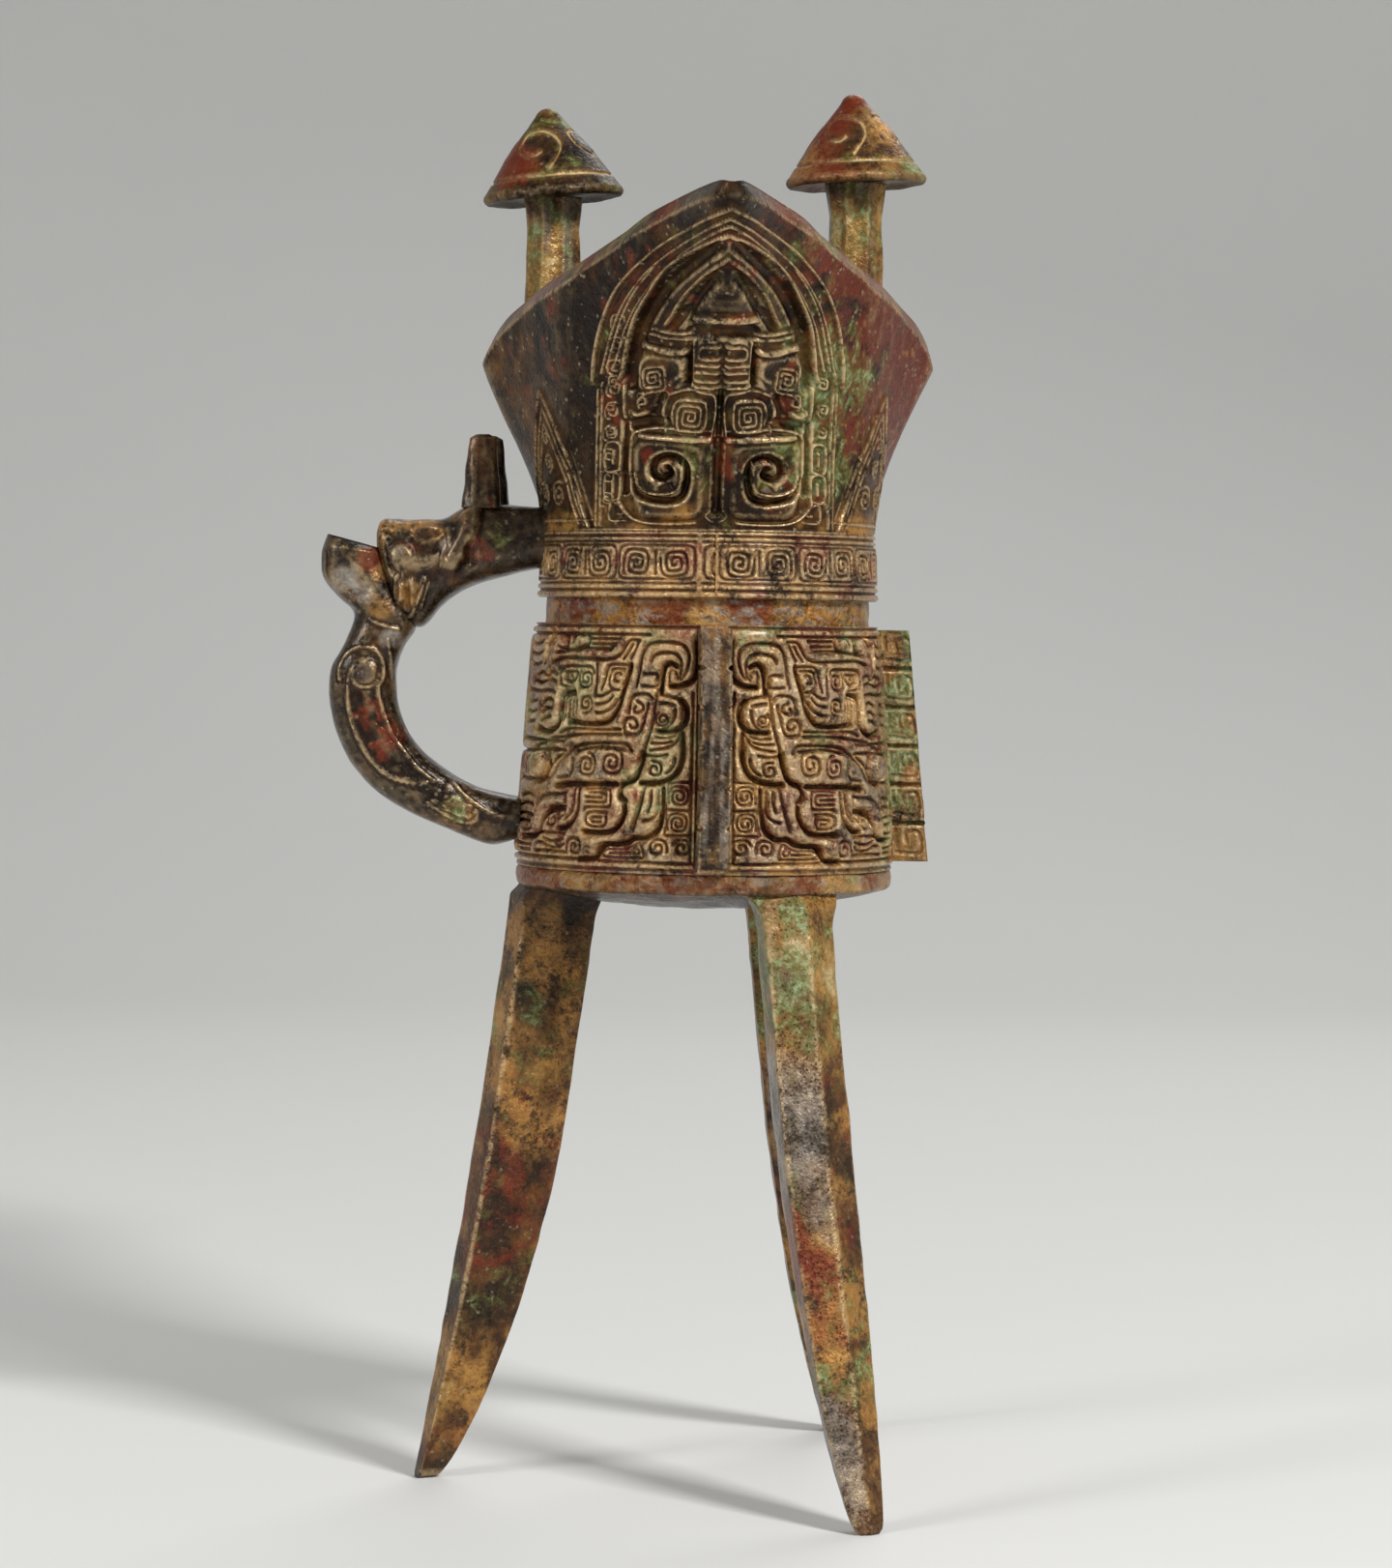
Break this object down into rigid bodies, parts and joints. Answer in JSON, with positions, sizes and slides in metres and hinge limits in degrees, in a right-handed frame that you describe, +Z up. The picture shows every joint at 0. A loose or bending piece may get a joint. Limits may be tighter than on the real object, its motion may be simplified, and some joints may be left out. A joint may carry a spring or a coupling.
{
  "type": "tripod wine cup",
  "caption": "Bronze jue: a ritual wine cup on blade legs, with pointed tail, pouring spout, capped rim posts, notched flanges and a beast-head handle",
  "frame": {"origin": "middle of the cup's plan box on the surface it stands on", "axes": "+Z up; the spout pours towards +Y and the tail points to -Y; the handle is on the -X side"},
  "size_m": [0.0976, 0.169, 0.2221],
  "materials": {
    "cup_body": "aged bronze with brown, red and green patina",
    "leg_handle_side": "aged bronze with ochre patina",
    "leg_tail_side": "aged bronze with ochre patina",
    "leg_spout_side": "aged bronze with ochre patina",
    "post_handle_side": "aged bronze with ochre patina",
    "post_far_side": "aged bronze with ochre patina",
    "cap_handle_side": "aged bronze with red patina",
    "cap_far_side": "aged bronze with red patina",
    "flange_tail": "aged bronze with dark patina",
    "flange_side": "aged bronze with green patina",
    "flange_spout": "aged bronze with dark patina",
    "handle_strap": "aged bronze with dark patina",
    "beast_head": "aged bronze with dark patina",
    "beast_horn_tail_side": "aged bronze with dark patina",
    "beast_horn_spout_side": "aged bronze with dark patina"
  },
  "bodies": {
    "root": {"cup_body": "cup_body", "leg_handle_side": "leg_handle_side", "leg_tail_side": "leg_tail_side", "leg_spout_side": "leg_spout_side", "post_handle_side": "post_handle_side", "post_far_side": "post_far_side", "cap_handle_side": "cap_handle_side", "cap_far_side": "cap_far_side", "flange_tail": "flange_tail", "flange_side": "flange_side", "flange_spout": "flange_spout", "handle_strap": "handle_strap", "beast_head": "beast_head", "beast_horn_tail_side": "beast_horn_tail_side", "beast_horn_spout_side": "beast_horn_spout_side"}
  },
  "joints": []
}
